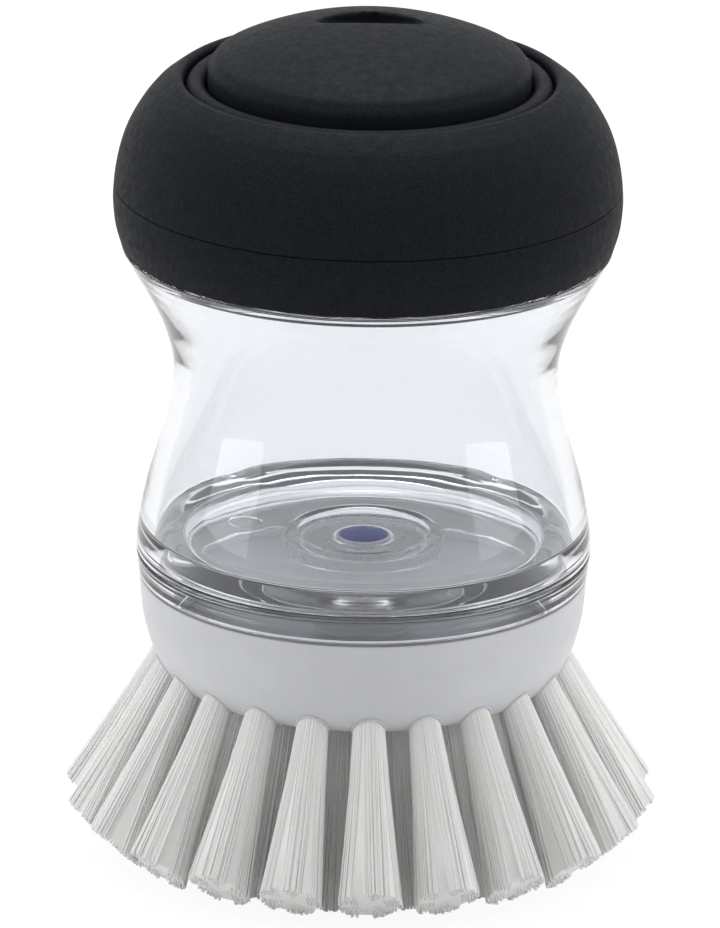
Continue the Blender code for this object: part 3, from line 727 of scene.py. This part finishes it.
def add_filament(shape, line, roll):
    """Sweeps a filament's section along its middle line and closes both ends."""
    rings = []
    for number, point in enumerate(line):
        along = (line[min(number + 1, len(line) - 1)] - line[max(number - 1, 0)]).normalized()
        across = along.orthogonal().normalized()
        up = along.cross(across)
        ring = []
        for side in range(FILAMENT_SIDES):
            angle = roll + math.tau * side / FILAMENT_SIDES
            out = math.cos(angle) * across + math.sin(angle) * up
            ring.append(shape.verts.new(point + FILAMENT_RADIUS * out))
        rings.append(ring)
    join_rings(shape, rings)
    shape.faces.new(reversed(rings[0]))
    shape.faces.new(rings[-1])


def tuft_mesh(ring, material, seed):
    """One tuft: a dense bundle in a round hole, fanning out in a few loose clumps.

    The outer filaments lie round a fluted body, which stands for those that they hide. Inner ones
    are there only for their last stretch, where the tuft is open.
    """
    rng = random.Random(seed)
    clumps = []
    for number in range(CLUMPS):
        angle = math.tau * (number + rng.uniform(0, CLUMP_SHIFT)) / CLUMPS
        middle = TUFT_RADIUS * CLUMP_PLACE * Vector((math.cos(angle), math.sin(angle)))
        clumps.append((middle, rng.uniform(0, CLUMP_RAGGED)))

    def gathered(spot):
        clump, ragged = min(clumps, key=lambda one: (one[0] - spot).length)
        return (clump - spot) * CLUMP_PULL * FAN_SHARE, ragged

    shape = bmesh.new()
    reach = TUFT_RADIUS - FILAMENT_RADIUS
    for number in range(FILAMENTS):
        share = (number + 0.5) / FILAMENTS
        radius = reach * math.sqrt(SHELL_SHARE ** 2 + (1 - SHELL_SHARE ** 2) * share)
        angle = number * GOLDEN_TURN
        spot = radius * Vector((math.cos(angle), math.sin(angle)))
        lean, ragged = gathered(spot)
        lean = lean + FILAMENT_STRAY * Vector((rng.uniform(-1, 1), rng.uniform(-1, 1)))
        ragged += FILAMENT_RADIUS / 2 + rng.uniform(0, FILAMENT_RAGGED)
        add_filament(shape, filament_line(ring, spot, lean, ragged), rng.uniform(0, math.tau))
    for number in range(CORE_FILAMENTS):
        radius = reach * SHELL_SHARE * math.sqrt((number + 0.5) / CORE_FILAMENTS)
        angle = number * GOLDEN_TURN
        spot = radius * Vector((math.cos(angle), math.sin(angle)))
        lean, ragged = gathered(spot)
        line = filament_line(ring, spot, lean, ragged + rng.uniform(0, FILAMENT_RAGGED))
        add_filament(shape, line[-2:], rng.uniform(0, math.tau))
    lines = []
    for side in range(BUNDLE_SIDES):
        angle = math.tau * side / BUNDLE_SIDES
        spot = reach * BUNDLE_SHARE * Vector((math.cos(angle), math.sin(angle)))
        lean, ragged = gathered(spot)
        lines.append(filament_line(ring, spot, lean, ragged + BUNDLE_SHORTER))
    rings = [[shape.verts.new(line[level]) for line in lines] for level in range(FILAMENT_RINGS)]
    join_rings(shape, rings)
    shape.faces.new(reversed(rings[0]))
    shape.faces.new(rings[-1])
    bmesh.ops.recalc_face_normals(shape, faces=shape.faces)
    mesh = bpy.data.meshes.new(f"{ring}_filaments_{seed}")
    shape.to_mesh(mesh)
    shape.free()
    mesh.shade_smooth()
    mesh.set_sharp_from_angle(angle=FILAMENT_EDGE)
    mesh.materials.append(material)
    return mesh


def make_tufts(material):
    """Puts a mesh of filaments in the place of each CAD tuft, from a few variants in turn."""
    for ring in TUFT_RINGS:
        meshes = [tuft_mesh(ring, material, seed) for seed in range(TUFT_VARIANTS)]
        for number, turn in enumerate(tuft_turns(ring)):
            name = f"{ring}_filaments_{number + 1:02d}"
            tuft = bpy.data.objects.new(name, meshes[number % TUFT_VARIANTS])
            bpy.context.scene.collection.objects.link(tuft)
            tuft.matrix_world = tuft_place(ring, turn)
            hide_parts(f"{ring}_tuft_{number + 1:02d}")
            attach(tuft, "head")


def make_collars(head, material):
    """The small raised rims that the head's plastic forms round each tuft's hole."""
    surface = BVHTree.FromObject(head, bpy.context.evaluated_depsgraph_get())
    shape = bmesh.new()
    for ring in TUFT_RINGS:
        for turn in tuft_turns(ring):
            add_collar(shape, surface, tuft_place(ring, turn))
    piece_from("tuft_collars", shape, material, "head")


def add_collar(shape, surface, place):
    """A thin round ring on the head's surface, where the tuft's rim meets it."""
    inward = -place.col[2].xyz
    spots = []
    for step in range(COLLAR_STEPS):
        angle = math.tau * step / COLLAR_STEPS
        side = Vector((math.cos(angle), math.sin(angle), 0))
        start = place @ (side * (TUFT_RADIUS + COLLAR_RADIUS) + Vector((0, 0, COLLAR_START)))
        spot, normal = surface.ray_cast(start, inward)[:2]
        spots.append((spot, (place.to_3x3() @ side).normalized(), normal))
    rings = []
    for spot, side, normal in spots:
        angles = [math.tau * number / COLLAR_SIDES for number in range(COLLAR_SIDES)]
        rings.append([
            shape.verts.new(spot + COLLAR_RADIUS * (math.cos(angle) * side + math.sin(angle) * normal))
            for angle in angles
        ])
    join_rings(shape, rings + rings[:1])


# Studio

def light_path_mask(tree):
    """One for what is seen straight on, in a reflection or through clear plastic, zero for light."""
    path = tree.nodes.new("ShaderNodeLightPath")
    mask = path.outputs["Is Camera Ray"]
    for kind in ("Is Glossy Ray", "Is Transmission Ray"):
        either = tree.nodes.new("ShaderNodeMath")
        either.operation = "MAXIMUM"
        tree.links.new(mask, either.inputs[0])
        tree.links.new(path.outputs[kind], either.inputs[1])
        mask = either.outputs[0]
    return mask


def make_world():
    """A white room, which lights the brush more softly than it looks."""
    world = bpy.data.worlds.new("studio")
    bpy.context.scene.world = world
    world.use_nodes = True
    tree = world.node_tree
    background = tree.nodes["Background"]
    background.inputs["Color"].default_value = WHITE
    strength = tree.nodes.new("ShaderNodeMapRange")
    strength.inputs["To Min"].default_value = ROOM_LIGHT
    strength.inputs["To Max"].default_value = 1.0
    tree.links.new(light_path_mask(tree), strength.inputs["Value"])
    tree.links.new(strength.outputs["Result"], background.inputs["Strength"])


def make_floor():
    """A pale floor that shows nearly white and keeps the brush's shadow."""
    mesh = bpy.data.meshes.new("floor")
    shape = bmesh.new()
    bmesh.ops.create_grid(shape, x_segments=1, y_segments=1, size=FLOOR_SIZE)
    shape.to_mesh(mesh)
    shape.free()
    floor = bpy.data.objects.new("floor", mesh)
    bpy.context.scene.collection.objects.link(floor)
    material = bpy.data.materials.new("floor")
    material.use_nodes = True
    tree = material.node_tree
    shader = tree.nodes["Principled BSDF"]
    shader.inputs["Base Color"].default_value = FLOOR_COLOUR
    shader.inputs["Roughness"].default_value = FLOOR_ROUGHNESS
    shader.inputs["Specular IOR Level"].default_value = 0.0
    glow = tree.nodes.new("ShaderNodeEmission")
    glow.inputs["Color"].default_value = WHITE
    glow.inputs["Strength"].default_value = FLOOR_GLOW
    share = tree.nodes.new("ShaderNodeMath")
    share.operation = "MULTIPLY"
    share.inputs[1].default_value = FLOOR_GLOW_SHARE
    mix = tree.nodes.new("ShaderNodeMixShader")
    tree.links.new(light_path_mask(tree), share.inputs[0])
    tree.links.new(share.outputs[0], mix.inputs[0])
    tree.links.new(shader.outputs[0], mix.inputs[1])
    tree.links.new(glow.outputs[0], mix.inputs[2])
    tree.links.new(mix.outputs[0], tree.nodes["Material Output"].inputs["Surface"])
    mesh.materials.append(material)


def make_lamp(name, place, size, power):
    """A soft rectangular lamp that points at the brush."""
    lamp = bpy.data.lights.new(name, "AREA")
    lamp.shape = "RECTANGLE"
    lamp.size, lamp.size_y = size
    lamp.energy = power
    holder = bpy.data.objects.new(name, lamp)
    bpy.context.scene.collection.objects.link(holder)
    holder.location = place
    aim = Vector(LAMP_AIM) - Vector(place)
    holder.rotation_euler = aim.to_track_quat("-Z", "Y").to_euler()
    return holder


def make_camera():
    """The camera at the photograph's height, tilt and distance."""
    data = bpy.data.cameras.new("camera")
    data.sensor_width = SENSOR
    data.lens = SENSOR * PIXELS_AT_AIM / PICTURE_HEIGHT
    data.clip_start = NEAREST_SEEN
    camera = bpy.data.objects.new("camera", data)
    bpy.context.scene.collection.objects.link(camera)
    back = Vector((0, -math.cos(CAMERA_ELEVATION), math.sin(CAMERA_ELEVATION)))
    camera.matrix_world = (
        Matrix.Translation(CAMERA_AIM + back * CAMERA_DISTANCE)
        @ Matrix.Rotation(math.pi / 2 - CAMERA_ELEVATION, 4, "X")
        @ Matrix.Rotation(CAMERA_ROLL, 4, "Z")
    )
    bpy.context.scene.camera = camera


def make_grip(grip):
    """The soft shell and band, the button with its scoop, and the two parts of the bellows."""
    redrawn(
        "soft_upper_shell", "grip_upper_shell", CLEAR_SIDE, GRIP_ROUND,
        grip, "knob",
    )
    redrawn(
        "soft_lower_band", "grip_lower_ring", CLEAR_SIDE, GRIP_ROUND,
        grip, "knob", close_seam,
    )
    button = redrawn(
        "domed_button", "press_button", LEFT_SIDE, BUTTON_ROUND,
        grip, "button",
    )
    add_scoop(button)
    names = ("bellows_lip", "bellows_flange")
    for name, line, body in zip(names, split_bellows(), ("knob", "button")):
        piece = turned(name, refined(line, True, BELLOWS_ROUND), True)
        piece.data.materials.append(grip)
        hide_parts("button_bellows")
        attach(piece, body)


def make_reservoir(clear):
    """The clear tank and base with their lugs."""
    redrawn(
        "clear_tank", "reservoir_tank", CLEAR_SIDE, CLEAR_ROUND,
        clear, "reservoir", even_tank,
    )
    make_lugs("neck_lugs", NECK_LUG, clear, "reservoir")
    base = redrawn(
        "clear_base", "reservoir_base", CLEAR_SIDE, CLEAR_ROUND,
        clear, "reservoir", flat_dish,
    )
    add_gate_mark(base)
    base.data.materials.append(grained_clear())
    for face in base.data.polygons:
        if face.center.z < GRAIN_TOP and face.center.xy.length < GRAIN_EDGE:
            face.material_index = 1
    make_lugs("spigot_lugs", SPIGOT_LUG, clear, "reservoir")


def make_bowl(white):
    """The bowl of the brush head with its lugs."""
    bowl = redrawn(
        "bowl_head", "brush_head", CLEAR_SIDE, HEAD_ROUND,
        white, "head",
    )
    make_lugs("head_lugs", HEAD_LUG, white, "head")
    return bowl


def make_valve(white):
    """The slit valve with its blue plug and pale rim, and the ring that clamps it."""
    valve = redrawn(
        "blue_valve", "dispensing_valve", LEFT_SIDE, VALVE_ROUND,
        blue_silicone(), "reservoir",
    )
    add_slit(valve)
    valve.data.materials.append(pale_silicone())
    for face in valve.data.polygons:
        if face.center.xy.length > PLUG_RADIUS:
            face.material_index = 1
    redrawn(
        "white_retainer", "valve_retainer", LEFT_SIDE, VALVE_ROUND,
        white, "reservoir",
    )


def finish_hidden_pieces(core, seal):
    """The pieces inside keep their CAD shapes and get a finish."""
    for node, material in (
        ("cap_core", core), ("button_core", core), ("cap_gasket", seal), ("head_seal", seal),
    ):
        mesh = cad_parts[node].data
        mesh.materials.clear()
        mesh.materials.append(material)


def make_lamps():
    """A large soft lamp on either side, which shows in no reflection, and one above."""
    for name, side in (("left_softbox", -1), ("right_softbox", 1)):
        place = (side * SIDE_LAMP_OUT, *SIDE_LAMP_PLACE)
        softbox = make_lamp(name, place, SIDE_LAMP_SIZE, SIDE_LAMP_POWER)
        softbox.visible_glossy = False
    make_lamp("top_softbox", TOP_LAMP_PLACE, TOP_LAMP_SIZE, TOP_LAMP_POWER)


make_camera()
make_world()
make_floor()
make_lamps()
make_grip(soft_grip())
make_reservoir(clear_plastic())
white = white_plastic()
bowl = make_bowl(white)
make_valve(white)
finish_hidden_pieces(core_plastic(), seal_silicone())
make_tufts(nylon())
make_collars(bowl, white)
bpy.context.scene.view_settings.view_transform = "Standard"
